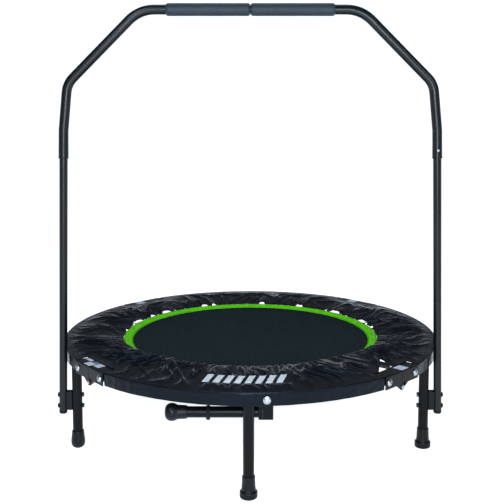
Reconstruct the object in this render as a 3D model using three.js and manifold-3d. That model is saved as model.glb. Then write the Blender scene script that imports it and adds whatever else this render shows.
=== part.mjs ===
// Mini trampoline with a U-shaped handlebar. Millimetres, +Z up, origin on the floor under the centre.
import * as THREE from 'three';
import { mergeVertices } from 'three/addons/utils/BufferGeometryUtils.js';
import Module from 'manifold-3d';

const wasm = await Module();
wasm.setup();

// ---- Driving dimensions -------------------------------------------------------------------

const GAP = 0.3;                 // clearance between touching pieces

const FRAME_RADIUS = 480;        // circle of the frame tube's centre line
const FRAME_HEIGHT = 228;        // height of that circle
const TUBE_RADIUS = 12.5;        // frame and leg tube
const TUBE_WALL = 1.5;
const HINGE_ANGLES = { front_right: -44, back_right: 46, back_left: 134, front_left: 219 };
const HINGE_BOLT_SPACING = 106;  // between the two bolts of one hinge
const TUBE_END_GAP = 16;         // between two arcs at a hinge
const PIVOT_HEIGHT = 205;        // hinge pin, under the tubes
const PLATE = 2.5;               // bracket plate thickness

const SIDE_LEG_X = 436.4;
const SIDE_LEG_Y = -200;
const FRONT_LEG_X = -4;
const BACK_LEG_ANGLES = { back_right: 67.5, back_left: 112.5 };
const SPIGOT_BOTTOM = 165;       // welded plug under the frame tube, which the leg pushes over
const SADDLE_GAP = 1;            // between a spigot's saddle and the faceted frame tube
const LEG_BOTTOM = 12;
const LEG_TOP = 213.5;

const FOLD_PIVOT_X = 36;         // folding leg's pivot bolt, through the front arc
const FOLD_LEG_Y = -442;
const FOLD_LEG_DROP = 47;        // stowed leg's axis below its pivot
const FOLD_LEG_REACH = 227;      // pivot to the foot's sole

const POST_RADIUS = 10;
const POST_WALL = 1.5;
const POST_FOOT = new THREE.Vector3(472.5, SIDE_LEG_Y, 92);
const POST_TOP = new THREE.Vector3(456.5, SIDE_LEG_Y, 775);
const UPPER_RADIUS = 12;
const UPPER_BORE = 10.4;
const UPPER_START = 733;         // height where the upper bar's sleeve begins
const SLEEVE_END = 800;          // above this the upper bar leans in more
const BAR_HEIGHT = 1090.5;
const SLANT_START_X = 444.5;     // corner between upright and slant
const SLANT_START_Z = 913;
const SLANT_END_X = 267;         // corner between slant and top
const BEND_RADII = [90, 60, 90]; // at the sleeve's end, the slant's start and its end
const CROSS_BOLT_HEIGHTS = { lower: 108, upper: 136 };

const GRIP_RADIUS = 15.4;
const GRIP_START = 1;
const GRIP_END = 203;

const MAT_RADIUS = 320;
const MAT_TOP = 232;
const MAT_THICKNESS = 2.4;
const BORDER_RADIUS = 343;
const BORDER_RISE = 6;           // border climbs outwards to the springs
const SPRING_COUNT = 36;
const SPRING_END = 452;

const SKIRT_INNER = 346;
const SKIRT_OUTER = 499;
const SKIRT_TOP = 246.5;
const SKIRT_BOTTOM = 213.5;
const SKIRT_THICKNESS = 2.4;

// ---- Materials ----------------------------------------------------------------------------

const paint = (color, roughness, metalness) =>
  new THREE.MeshStandardMaterial({ color, roughness, metalness });
const BLACK_STEEL = paint(0x15191c, 0.35, 0.5);
const BOLT_STEEL = paint(0xc8ccd0, 0.3, 0.9);
const RUBBER = paint(0x121416, 0.75, 0);
const FOAM = paint(0x1b2126, 0.8, 0);
const MAT_FABRIC = paint(0x21282c, 0.85, 0);
const BORDER_FABRIC = paint(0x6fbe14, 0.7, 0);
const SKIRT_FABRIC = paint(0x1c212c, 0.4, 0);
const SPRING_STEEL = paint(0x202428, 0.4, 0.7);

// ---- Solids -------------------------------------------------------------------------------

function toSolid(geometry) {
  const bare = geometry.clone();
  bare.deleteAttribute('normal');
  bare.deleteAttribute('uv');
  const merged = mergeVertices(bare, 1e-4);
  return new wasm.Manifold(new wasm.Mesh({
    numProp: 3,
    vertProperties: new Float32Array(merged.attributes.position.array),
    triVerts: new Uint32Array(merged.index.array),
  }));
}

function toGeometry(solid) {
  const mesh = solid.getMesh();
  const geometry = new THREE.BufferGeometry();
  geometry.setAttribute('position', new THREE.BufferAttribute(mesh.vertProperties, 3));
  geometry.setIndex(new THREE.BufferAttribute(mesh.triVerts, 1));
  geometry.computeVertexNormals();
  return geometry;
}

function cut(geometry, ...tools) {
  let solid = toSolid(geometry);
  for (const tool of tools) solid = solid.subtract(toSolid(tool));
  return toGeometry(solid);
}

function mirrored(geometry) {
  const copy = geometry.clone().scale(-1, 1, 1);
  const corners = copy.index.array;
  for (let i = 0; i < corners.length; i += 3) {
    [corners[i], corners[i + 1]] = [corners[i + 1], corners[i]];
  }
  copy.computeVertexNormals();
  return copy;
}

function join(...geometries) {
  const [first, ...rest] = geometries.map(toSolid);
  return toGeometry(rest.reduce((sum, solid) => sum.add(solid), first));
}

// A turned piece about +Z; the profile is a list of [radius, height] going up the outside.
function turned(profile, sides) {
  const points = profile.map(([radius, height]) => new THREE.Vector2(radius, height));
  return new THREE.LatheGeometry(points, sides).rotateX(Math.PI / 2);
}

function rod(radius, from, to, sides = 12) {
  return turned([[0, from], [radius, from], [radius, to], [0, to]], sides);
}

function pipe(outer, bore, from, to, sides = 12) {
  return turned([[bore, from], [outer, from], [outer, to], [bore, to], [bore, from]], sides);
}

function box(low, high) {
  const size = high.map((value, i) => value - low[i]);
  const centre = high.map((value, i) => (value + low[i]) / 2);
  return new THREE.BoxGeometry(...size).translate(...centre);
}

const alongX = (geometry) => geometry.rotateY(Math.PI / 2);
const alongY = (geometry) => geometry.rotateX(-Math.PI / 2);

function ringSection(radius, bore, outerSides, boreSides) {
  const section = new THREE.Shape();
  section.absarc(0, 0, radius, 0, 2 * Math.PI, false);
  const polygon = new THREE.Shape(section.getPoints(outerSides / 2));
  if (bore > 0) {
    const hole = new THREE.Path().absarc(0, 0, bore, 0, 2 * Math.PI, true);
    polygon.holes.push(new THREE.Path(hole.getPoints(boreSides / 2)));
  }
  return polygon;
}

function swept(section, path, steps) {
  return new THREE.ExtrudeGeometry(section, { extrudePath: path, steps, curveSegments: 6 });
}

class FrameArc extends THREE.Curve {
  constructor(from, to) {
    super();
    this.from = from;
    this.to = to;
  }

  getPoint(t, target = new THREE.Vector3()) {
    const angle = THREE.MathUtils.lerp(this.from, this.to, t);
    const [x, y] = [Math.cos(angle), Math.sin(angle)].map((value) => value * FRAME_RADIUS);
    return target.set(x, y, FRAME_HEIGHT);
  }
}

// Moves a piece from a frame station's own axes to the frame. Those axes have +X along the tube,
// +Y outwards from the trampoline's centre and the origin on the tube's centre line.
function atFrame(geometry, degrees) {
  return geometry
    .translate(0, FRAME_RADIUS, 0)
    .rotateZ(THREE.MathUtils.degToRad(degrees - 90))
    .translate(0, 0, FRAME_HEIGHT);
}

// ---- Parts --------------------------------------------------------------------------------

const trampoline = new THREE.Group();

function addPart(name, geometry, material) {
  const mesh = new THREE.Mesh(geometry, material);
  mesh.name = name;
  trampoline.add(mesh);
  return mesh;
}

function boltTool(degrees, side) {
  const hole = alongY(rod(4.4, -25, 25, 10)).translate(side * HINGE_BOLT_SPACING / 2, 0, 0);
  return atFrame(hole, degrees);
}

function foldPivotHole(radius) {
  return alongY(rod(radius, -520, -440, 20)).translate(FOLD_PIVOT_X, 0, FRAME_HEIGHT);
}

function addFrameArcs() {
  const halfGap = TUBE_END_GAP / 2 / FRAME_RADIUS;
  const section = ringSection(TUBE_RADIUS, TUBE_RADIUS - TUBE_WALL, 12, 6);
  const spans = {
    right: [HINGE_ANGLES.front_right, HINGE_ANGLES.back_right],
    back: [HINGE_ANGLES.back_right, HINGE_ANGLES.back_left],
    left: [HINGE_ANGLES.back_left, HINGE_ANGLES.front_left],
    front: [HINGE_ANGLES.front_left, HINGE_ANGLES.front_right + 360],
  };
  for (const [name, [start, stop]] of Object.entries(spans)) {
    const from = THREE.MathUtils.degToRad(start) + halfGap;
    const to = THREE.MathUtils.degToRad(stop) - halfGap;
    const holes = [boltTool(start, -1), boltTool(stop, 1)];
    if (name === 'front') holes.push(foldPivotHole(4.4));
    const arc = cut(swept(section, new FrameArc(from, to), 14), ...holes);
    addPart(`frame_arc_${name}`, arc, BLACK_STEEL);
  }
}

// A flat plate in the XZ plane between two distances from the frame's centre circle.
function cheek(outline, near, far) {
  const shape = new THREE.Shape(outline.map(([x, z]) => new THREE.Vector2(x, z)));
  const plate = new THREE.ExtrudeGeometry(shape, { depth: far - near, bevelEnabled: false });
  return plate.rotateX(Math.PI / 2).translate(0, far, 0);
}

const HINGE_LENGTH = 66;
const PIN_DROP = PIVOT_HEIGHT - FRAME_HEIGHT;
const COVER = TUBE_RADIUS + 0.6;           // underside of the bracket's top plate
const FRONT_CHEEK = [COVER, COVER + PLATE];
const REAR_CHEEK = [-17.6 - PLATE, -17.6]; // further off, because the tube curves inwards

function hingeTop() {
  return box([0.4, REAR_CHEEK[0], COVER], [HINGE_LENGTH, FRONT_CHEEK[1], COVER + PLATE]);
}

// Bracket whose ears wrap the pin from outside.
function outerBracket() {
  const outline = [
    [0.4, COVER + PLATE], [0.4, -13.4], [-8, -17], [-9, -25], [-3, -31], [4, -31],
    [24, -16], [HINGE_LENGTH, -16], [HINGE_LENGTH, COVER + PLATE],
  ];
  return join(hingeTop(), cheek(outline, ...FRONT_CHEEK), cheek(outline, ...REAR_CHEEK));
}

// Bracket whose ears sit between the other bracket's ears.
function innerBracket() {
  const outline = [
    [0.4, COVER + PLATE], [0.4, -13], [12, -13], [12, -24], [24, -16],
    [HINGE_LENGTH, -16], [HINGE_LENGTH, COVER + PLATE],
  ];
  const ear = [[-7, -20], [-7, -26], [-3, -30], [3, -30], [16, -22], [22, -16], [22, -14], [-2, -14]];
  const step = [[12, -24], [24, -16], [22, -14], [12, -14]];
  const frontEar = FRONT_CHEEK[0] - GAP;
  const rearEar = REAR_CHEEK[1] + GAP;
  return join(
    hingeTop(),
    cheek(outline, ...FRONT_CHEEK),
    cheek(outline, ...REAR_CHEEK),
    cheek(ear, frontEar - PLATE, frontEar),
    cheek(ear, rearEar, rearEar + PLATE),
    cheek(step, frontEar - 1, FRONT_CHEEK[0] + 1),
    cheek(step, REAR_CHEEK[1] - 1, rearEar + 1),
  );
}

const FRONT_FACE = FRONT_CHEEK[1] + GAP;
const REAR_FACE = REAR_CHEEK[0] - GAP;

function hingeBolt() {
  return alongY(turned([
    [0, REAR_FACE - 5], [5, REAR_FACE - 5], [6.5, REAR_FACE], [4, REAR_FACE],
    [4, FRONT_FACE], [8, FRONT_FACE], [7.4, FRONT_FACE + 2.6], [4.4, FRONT_FACE + 4.6],
    [0, FRONT_FACE + 5.2],
  ], 8));
}

function hingePin() {
  return alongY(turned([
    [0, REAR_FACE - 2], [4.5, REAR_FACE - 2], [4.5, REAR_FACE], [3, REAR_FACE],
    [3, FRONT_FACE], [4.5, FRONT_FACE], [4.5, FRONT_FACE + 2], [0, FRONT_FACE + 2],
  ], 8));
}

function addHinges() {
  for (const [name, degrees] of Object.entries(HINGE_ANGLES)) {
    const pinHole = () => alongY(rod(3.3, -25, 25, 8)).translate(0, 0, PIN_DROP);
    const boltHole = () => alongY(rod(4.4, -25, 25, 8)).translate(HINGE_BOLT_SPACING / 2, 0, 0);
    const outer = cut(outerBracket(), pinHole(), boltHole());
    const inner = mirrored(cut(innerBracket(), pinHole(), boltHole()));
    addPart(`hinge_bracket_outer_${name}`, atFrame(outer, degrees), BLACK_STEEL);
    addPart(`hinge_bracket_inner_${name}`, atFrame(inner, degrees), BLACK_STEEL);
    addPart(`hinge_pin_${name}`, atFrame(hingePin().translate(0, 0, PIN_DROP), degrees), BOLT_STEEL);
    for (const [end, side] of [['a', 1], ['b', -1]]) {
      const bolt = hingeBolt().translate(side * HINGE_BOLT_SPACING / 2, 0, 0);
      addPart(`hinge_bolt_${name}_${end}`, atFrame(bolt, degrees), BOLT_STEEL);
    }
  }
}

// Where each standing leg meets the floor.
function legPlaces() {
  const places = {
    front: [FRONT_LEG_X, -FRAME_RADIUS],
    left: [-SIDE_LEG_X, SIDE_LEG_Y],
    right: [SIDE_LEG_X, SIDE_LEG_Y],
  };
  for (const [name, degrees] of Object.entries(BACK_LEG_ANGLES)) {
    const angle = THREE.MathUtils.degToRad(degrees);
    places[name] = [FRAME_RADIUS * Math.cos(angle), FRAME_RADIUS * Math.sin(angle)];
  }
  return places;
}

function ringFoot() {
  return turned([
    [0, 0], [18.5, 0], [20, 2], [20, 15], [18, 17], [16, 19], [14.6, 46], [14.6, 50],
    [TUBE_RADIUS + 0.3, 50], [TUBE_RADIUS + 0.3, LEG_BOTTOM - 1], [0, LEG_BOTTOM - 1],
  ], 12);
}

function bulbFoot() {
  return turned([
    [0, 0], [10, 0], [15, 4], [17.5, 13], [17, 22], [15, 34], [14.3, 44],
    [TUBE_RADIUS + 0.3, 44], [TUBE_RADIUS + 0.3, LEG_BOTTOM - 1], [0, LEG_BOTTOM - 1],
  ], 12);
}

function crossBoltHole(height) {
  return alongX(rod(3.4, 400, 500, 8)).translate(0, SIDE_LEG_Y, height);
}

function addLegs() {
  const clearArc = swept(
    ringSection(TUBE_RADIUS + SADDLE_GAP, 0, 16, 0),
    new FrameArc(0, 2 * Math.PI),
    96,
  );
  const crossHoles = () => Object.values(CROSS_BOLT_HEIGHTS).map(crossBoltHole);
  for (const [name, [x, y]] of Object.entries(legPlaces())) {
    const spigot = rod(TUBE_RADIUS - TUBE_WALL - GAP, SPIGOT_BOTTOM, FRAME_HEIGHT).translate(x, y, 0);
    addPart(`leg_spigot_${name}`, cut(spigot, clearArc), BLACK_STEEL);

    let leg = pipe(TUBE_RADIUS, TUBE_RADIUS - TUBE_WALL, LEG_BOTTOM, LEG_TOP, 12);
    if (name === 'right') leg = cut(leg.translate(x, y, 0), ...crossHoles());
    else if (name === 'left') leg = cut(leg.translate(-x, y, 0), ...crossHoles()).translate(2 * x, 0, 0);
    else leg.translate(x, y, 0);
    addPart(`leg_${name}`, leg, BLACK_STEEL);

    const foot = name === 'left' ? bulbFoot() : ringFoot();
    addPart(`foot_${name}`, foot.translate(x, y, 0), RUBBER);
  }
}

// The extra leg is stowed: it lies along -X below the frame and swings down about its bolt.
function addFoldingLeg() {
  const axisHeight = FRAME_HEIGHT - FOLD_LEG_DROP;
  const sole = FOLD_PIVOT_X - FOLD_LEG_REACH;
  const blockStart = FOLD_PIVOT_X - 18;
  const lay = (geometry) => alongX(geometry).translate(sole, FOLD_LEG_Y, axisHeight);

  const tube = pipe(TUBE_RADIUS, TUBE_RADIUS - TUBE_WALL, LEG_BOTTOM, blockStart - sole - GAP, 12);
  addPart('folding_leg', lay(tube), BLACK_STEEL);
  addPart('foot_folding', lay(ringFoot()), RUBBER);

  const block = box(
    [blockStart, FOLD_LEG_Y - 13, axisHeight - 14],
    [FOLD_PIVOT_X - 3, FOLD_LEG_Y + 13, axisHeight + 14],
  );
  // The plate stays behind the curve of the frame tube all the way as the leg swings down.
  const plateBack = FOLD_LEG_Y - 13.4;
  const outline = [
    [-18, -61], [15, -61], [15, -28], [11, -18], [11, 6], [6, 11], [-6, 11], [-11, 6], [-11, -18],
    [-18, -28],
  ];
  const plate = cheek(outline, plateBack, plateBack + 4).translate(FOLD_PIVOT_X, 0, FRAME_HEIGHT);
  addPart('folding_leg_bracket', cut(join(block, plate), foldPivotHole(4.4)), BLACK_STEEL);

  const headFace = SKIRT_OUTER + 1;
  const nutFace = -plateBack - 4 - GAP;
  const bolt = alongY(turned([
    [0, -headFace - 3.4], [4.4, -headFace - 3], [7.4, -headFace - 1.8], [8, -headFace],
    [4, -headFace], [4, -nutFace], [6.5, -nutFace], [6.5, -nutFace + 5], [0, -nutFace + 5],
  ], 20));
  addPart('folding_leg_bolt', bolt.translate(FOLD_PIVOT_X, 0, FRAME_HEIGHT), BOLT_STEEL);
}

// Centre line of the right half of the handlebar's upper part: upright, slant and top.
function upperBarPath() {
  const postX = (height) => THREE.MathUtils.mapLinear(
    height, POST_FOOT.z, POST_TOP.z, POST_FOOT.x, POST_TOP.x,
  );
  const corners = [
    [postX(UPPER_START), UPPER_START],
    [postX(SLEEVE_END), SLEEVE_END],
    [SLANT_START_X, SLANT_START_Z],
    [SLANT_END_X, BAR_HEIGHT],
    [0.6, BAR_HEIGHT],
  ].map(([x, z]) => new THREE.Vector3(x, SIDE_LEG_Y, z));
  const path = new THREE.CurvePath();
  let last = corners[0];
  for (let i = 1; i < corners.length - 1; i += 1) {
    const corner = corners[i];
    const before = corners[i - 1].clone().sub(corner).normalize();
    const after = corners[i + 1].clone().sub(corner).normalize();
    const reach = BEND_RADII[i - 1] / Math.tan(before.angleTo(after) / 2);
    const start = corner.clone().addScaledVector(before, reach);
    const end = corner.clone().addScaledVector(after, reach);
    path.add(new THREE.LineCurve3(last, start));
    path.add(new THREE.QuadraticBezierCurve3(start, corner, end));
    last = end;
  }
  path.add(new THREE.LineCurve3(last, corners[corners.length - 1]));
  return path;
}

function addHandlebar() {
  // The left half is the right half turned about the vertical line through the bar's middle.
  const half = (side) => (geometry) => {
    const copy = geometry.clone();
    if (side === 'left') copy.translate(0, -SIDE_LEG_Y, 0).rotateZ(Math.PI).translate(0, SIDE_LEG_Y, 0);
    return copy;
  };
  const length = POST_FOOT.distanceTo(POST_TOP);
  const lean = Math.atan2(POST_TOP.x - POST_FOOT.x, POST_TOP.z - POST_FOOT.z);
  const stand = (geometry) => geometry.rotateY(lean).translate(...POST_FOOT.toArray());

  const crossHoles = Object.values(CROSS_BOLT_HEIGHTS).map(crossBoltHole);
  const post = cut(stand(pipe(POST_RADIUS, POST_RADIUS - POST_WALL, 0, length, 12)), ...crossHoles);
  const plug = stand(turned([
    [0, -4], [8, -4], [POST_RADIUS, -2], [POST_RADIUS, -GAP], [8.1, -GAP], [8.1, 9], [0, 9],
  ], 12));
  const section = ringSection(UPPER_RADIUS, UPPER_BORE, 12, 12);
  const upper = swept(section, upperBarPath(), 28);
  const grip = alongX(pipe(GRIP_RADIUS, UPPER_RADIUS + 0.4, GRIP_START, GRIP_END, 12))
    .translate(0, SIDE_LEG_Y, BAR_HEIGHT);

  for (const side of ['left', 'right']) {
    const place = half(side);
    addPart(`handlebar_post_${side}`, place(post), BLACK_STEEL);
    addPart(`post_cap_${side}`, place(plug), RUBBER);
    addPart(`handlebar_upper_${side}`, place(upper), BLACK_STEEL);
    addPart(`foam_grip_${side}`, place(grip), FOAM);
    for (const [level, height] of Object.entries(CROSS_BOLT_HEIGHTS)) {
      const postX = POST_FOOT.x - (height - POST_FOOT.z) * Math.tan(-lean);
      const inner = SIDE_LEG_X - TUBE_RADIUS - 0.6;
      const outer = postX + POST_RADIUS + 0.6;
      const spacerFrom = SIDE_LEG_X + TUBE_RADIUS + 0.6;
      const spacerTo = postX - POST_RADIUS - 0.6;
      const bolt = alongX(turned([
        [0, inner - 4], [5, inner - 4], [6, inner], [3, inner], [3, spacerFrom], [7, spacerFrom],
        [7, spacerTo], [3, spacerTo], [3, outer], [6, outer], [5, outer + 4], [0, outer + 4],
      ], 8)).translate(0, SIDE_LEG_Y, height);
      addPart(`post_bolt_${level}_${side}`, place(bolt), BOLT_STEEL);
    }
  }
  const joiner = alongX(rod(UPPER_BORE - 0.6, -70, 70, 10)).translate(0, SIDE_LEG_Y, BAR_HEIGHT);
  addPart('handlebar_joiner', joiner, BLACK_STEEL);
}

function addJumpingSurface() {
  const matBottom = MAT_TOP - MAT_THICKNESS;
  addPart('mat', rod(MAT_RADIUS - GAP, matBottom, MAT_TOP, 60), MAT_FABRIC);
  addPart('mat_border', turned([
    [MAT_RADIUS, matBottom], [BORDER_RADIUS, matBottom + BORDER_RISE],
    [BORDER_RADIUS, MAT_TOP + BORDER_RISE], [MAT_RADIUS, MAT_TOP], [MAT_RADIUS, matBottom],
  ], 60), BORDER_FABRIC);

  const hoopInner = BORDER_RADIUS + 3;
  const hoopOuter = hoopInner + 5;
  const halfWidth = 6;
  const outline = [];
  for (let i = 0; i < SPRING_COUNT; i += 1) {
    const angle = (i * 2 * Math.PI) / SPRING_COUNT;
    for (const [radius, side] of [[hoopOuter, -1], [SPRING_END, -1], [SPRING_END, 1], [hoopOuter, 1]]) {
      const offset = side * halfWidth;
      const x = radius * Math.cos(angle) - offset * Math.sin(angle);
      const y = radius * Math.sin(angle) + offset * Math.cos(angle);
      outline.push(new THREE.Vector2(x, y));
    }
  }
  const star = new THREE.Shape(outline);
  const hole = new THREE.Path().absarc(0, 0, hoopInner, 0, 2 * Math.PI, true);
  star.holes.push(new THREE.Path(hole.getPoints(SPRING_COUNT)));
  const springs = new THREE.ExtrudeGeometry(star, { depth: 8, bevelEnabled: false });
  addPart('spring_ring', springs.translate(0, 0, FRAME_HEIGHT - 2), SPRING_STEEL);
}

function addSkirt() {
  const inside = SKIRT_OUTER - SKIRT_THICKNESS;
  const under = SKIRT_TOP - SKIRT_THICKNESS;
  const ring = turned([
    [inside, SKIRT_BOTTOM], [SKIRT_OUTER, SKIRT_BOTTOM], [SKIRT_OUTER, SKIRT_TOP - 5],
    [SKIRT_OUTER - 5, SKIRT_TOP], [SKIRT_INNER, SKIRT_TOP], [SKIRT_INNER, under],
    [inside - 3, under], [inside, under - 3], [inside, SKIRT_BOTTOM],
  ], 60);
  const openings = Object.values(HINGE_ANGLES).map((degrees) =>
    atFrame(box([-HINGE_LENGTH - 4, -28, -40], [HINGE_LENGTH + 4, 60, 60]), degrees));
  addPart('safety_skirt', cut(ring, ...openings, foldPivotHole(5.5)), SKIRT_FABRIC);
}

addFrameArcs();
addHinges();
addLegs();
addFoldingLeg();
addHandlebar();
addJumpingSurface();
addSkirt();

export default trampoline;
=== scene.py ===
import math

import bmesh
import bpy
from mathutils import Matrix, Vector, noise


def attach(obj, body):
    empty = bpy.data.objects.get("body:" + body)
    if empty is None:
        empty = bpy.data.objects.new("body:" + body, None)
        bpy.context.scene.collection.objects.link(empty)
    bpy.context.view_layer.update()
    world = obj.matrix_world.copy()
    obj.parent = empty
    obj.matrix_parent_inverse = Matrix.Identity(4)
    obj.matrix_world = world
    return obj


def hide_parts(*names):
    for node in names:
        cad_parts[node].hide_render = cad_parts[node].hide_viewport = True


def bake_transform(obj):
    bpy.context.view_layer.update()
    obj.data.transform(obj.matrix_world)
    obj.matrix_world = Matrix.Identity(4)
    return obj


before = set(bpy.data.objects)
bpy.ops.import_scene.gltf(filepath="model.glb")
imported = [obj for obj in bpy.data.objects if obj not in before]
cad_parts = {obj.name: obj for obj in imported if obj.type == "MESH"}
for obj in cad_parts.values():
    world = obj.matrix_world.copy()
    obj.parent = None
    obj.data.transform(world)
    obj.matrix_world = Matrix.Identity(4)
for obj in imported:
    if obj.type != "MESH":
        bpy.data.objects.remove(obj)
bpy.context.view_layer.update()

TAU = 2 * math.pi

# ---- Sizes shared with the CAD part, in metres -----------------------------------------------

FRAME_RADIUS = 0.480
FRAME_HEIGHT = 0.228
TUBE_RADIUS = 0.0125
TUBE_END_GAP = 0.016
HINGES = {"front_right": -44, "back_right": 46, "back_left": 134, "front_left": 219}
ARCS = {
    "right": (HINGES["front_right"], HINGES["back_right"]),
    "back": (HINGES["back_right"], HINGES["back_left"]),
    "left": (HINGES["back_left"], HINGES["front_left"]),
    "front": (HINGES["front_left"], HINGES["front_right"] + 360),
}
HINGE_BOLT_OFFSET = 0.053
HINGE_LENGTH = 0.066
PIN_DROP = -0.023
PLATE = 0.0025
COVER = TUBE_RADIUS + 0.0006
FRONT_CHEEK = (COVER, COVER + PLATE)
REAR_CHEEK = (-0.0176 - PLATE, -0.0176)
HANDLEBAR_Y = -0.200
SIDE_LEG_X = 0.4364
FRONT_LEG_X = -0.004
BACK_LEG_ANGLES = {"back_right": 67.5, "back_left": 112.5}
LEG_BOTTOM = 0.012
LEG_TOP = 0.2135
FOLD_PIVOT_X = 0.036
FOLD_LEG_Y = -0.442
FOLD_AXIS_HEIGHT = FRAME_HEIGHT - 0.047
FOLD_SOLE_X = FOLD_PIVOT_X - 0.227
MAT_RADIUS = 0.320
MAT_TOP = 0.232
BORDER_RADIUS = 0.343
BORDER_RISE = 0.006
SPRING_COUNT = 36
SPRING_HEIGHT = 0.2345
BARE_SPRING_PLACE = 280  # degrees, where the folding leg's bracket swings
SKIRT_RIM = 0.4975
SKIRT_TOP = 0.2462
SKIRT_BOTTOM = 0.2140
RIM_ROUND = 0.0035


# ---- Materials --------------------------------------------------------------------------------

class Look:
    """One node-based material, built up step by step."""

    def __init__(self, name, color, roughness, metallic=0.0, **sockets):
        self.material = bpy.data.materials.new(name)
        self.material.use_nodes = True
        self.nodes = self.material.node_tree.nodes
        self.links = self.material.node_tree.links
        self.shader = self.nodes["Principled BSDF"]
        self.color = (*color, 1)
        self.roughness = roughness
        self.shader.inputs["Base Color"].default_value = self.color
        self.shader.inputs["Roughness"].default_value = roughness
        self.shader.inputs["Metallic"].default_value = metallic
        for socket, value in sockets.items():
            self.shader.inputs[socket.replace("_", " ")].default_value = value
        self.coordinates = self.nodes.new("ShaderNodeTexCoord")
        self.bump_chain = None

    def space(self, scale=(1, 1, 1), kind="Object"):
        mapping = self.nodes.new("ShaderNodeMapping")
        mapping.inputs["Scale"].default_value = scale
        self.links.new(self.coordinates.outputs[kind], mapping.inputs["Vector"])
        return mapping.outputs["Vector"]

    def noise(self, scale, detail=4.0, stretch=(1, 1, 1), kind="Object"):
        texture = self.nodes.new("ShaderNodeTexNoise")
        texture.inputs["Scale"].default_value = scale
        texture.inputs["Detail"].default_value = detail
        self.links.new(self.space(stretch, kind), texture.inputs["Vector"])
        return texture.outputs["Fac"]

    def vary_roughness(self, factor, spread):
        ramp = self.nodes.new("ShaderNodeMapRange")
        ramp.inputs["To Min"].default_value = max(0.02, self.roughness - spread)
        ramp.inputs["To Max"].default_value = min(1.0, self.roughness + spread)
        self.links.new(factor, ramp.inputs["Value"])
        self.links.new(ramp.outputs["Result"], self.shader.inputs["Roughness"])

    def vary_color(self, factor, other, low=0.35, high=0.7):
        ramp = self.nodes.new("ShaderNodeMapRange")
        ramp.inputs["From Min"].default_value = low
        ramp.inputs["From Max"].default_value = high
        mix = self.nodes.new("ShaderNodeMix")
        mix.data_type = "RGBA"
        mix.inputs["A"].default_value = self.color
        mix.inputs["B"].default_value = (*other, 1)
        self.links.new(factor, ramp.inputs["Value"])
        self.links.new(ramp.outputs["Result"], mix.inputs["Factor"])
        self.links.new(mix.outputs["Result"], self.shader.inputs["Base Color"])

    def bump(self, height, strength, distance):
        node = self.nodes.new("ShaderNodeBump")
        node.inputs["Strength"].default_value = strength
        node.inputs["Distance"].default_value = distance
        self.links.new(height, node.inputs["Height"])
        if self.bump_chain:
            self.links.new(self.bump_chain, node.inputs["Normal"])
        self.bump_chain = node.outputs["Normal"]
        self.links.new(self.bump_chain, self.shader.inputs["Normal"])

    def weave(self, threads, kind="Object"):
        """Height of a plain weave with that many threads a metre."""
        waves = []
        for axis in ("X", "Y"):
            wave = self.nodes.new("ShaderNodeTexWave")
            wave.wave_type = "BANDS"
            wave.bands_direction = axis
            wave.inputs["Scale"].default_value = threads / 20
            wave.inputs["Distortion"].default_value = 0.4
            wave.inputs["Detail"].default_value = 1
            self.links.new(self.space(kind=kind), wave.inputs["Vector"])
            waves.append(wave.outputs["Fac"])
        product = self.nodes.new("ShaderNodeMath")
        product.operation = "MULTIPLY"
        self.links.new(waves[0], product.inputs[0])
        self.links.new(waves[1], product.inputs[1])
        return product.outputs[0]


def make_black_steel(name, gloss):
    look = Look(name, (0.0016, 0.0026, 0.0034), 0.32, Specular_IOR_Level=gloss)
    look.vary_roughness(look.noise(60, 5), 0.07)
    look.vary_color(look.noise(18, 6), (0.0030, 0.0046, 0.0054), 0.45, 0.8)
    look.bump(look.noise(900, 2), 0.12, 0.0003)
    return look.material


def make_bolt_steel():
    look = Look("zinc_plated_steel", (0.42, 0.44, 0.46), 0.30, 1.0)
    look.vary_roughness(look.noise(400, 4), 0.1)
    look.vary_color(look.noise(250, 4), (0.30, 0.32, 0.34))
    look.bump(look.noise(1500, 2), 0.2, 0.0002)
    return look.material


def make_rubber():
    look = Look("moulded_rubber", (0.0022, 0.0031, 0.0038), 0.38, Specular_IOR_Level=0.18)
    look.vary_roughness(look.noise(90, 5), 0.12)
    look.vary_color(look.noise(45, 5), (0.0045, 0.0050, 0.0058), 0.5, 0.85)
    look.bump(look.noise(1400, 3), 0.35, 0.0004)
    return look.material


def make_foam():
    look = Look("closed_cell_foam", (0.0115, 0.0170, 0.0250), 0.5, Specular_IOR_Level=0.30,
                Sheen_Weight=0.10, Sheen_Roughness=0.45, Sheen_Tint=(0.75, 0.85, 1.0, 1))
    cells = look.nodes.new("ShaderNodeTexVoronoi")
    cells.inputs["Scale"].default_value = 700
    look.links.new(look.space(), cells.inputs["Vector"])
    look.vary_color(look.noise(120, 5), (0.0150, 0.0215, 0.0310))
    look.vary_roughness(look.noise(300, 3), 0.12)
    look.bump(cells.outputs["Distance"], 0.5, 0.0008)
    return look.material


def make_mat():
    look = Look("woven_mat", (0.0108, 0.0172, 0.0188), 0.75, Specular_IOR_Level=0.05)
    look.vary_color(look.noise(9, 6), (0.0124, 0.0196, 0.0214), 0.3, 0.7)
    look.vary_roughness(look.noise(30, 5), 0.08)
    look.bump(look.weave(900), 0.45, 0.0007)
    return look.material


def make_border():
    look = Look("lime_webbing", (0.135, 0.660, 0.003), 0.7, Specular_IOR_Level=0.1)
    look.vary_color(look.noise(70, 5), (0.100, 0.540, 0.002), 0.4, 0.75)
    look.bump(look.weave(1300), 0.5, 0.0006)
    return look.material


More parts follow.
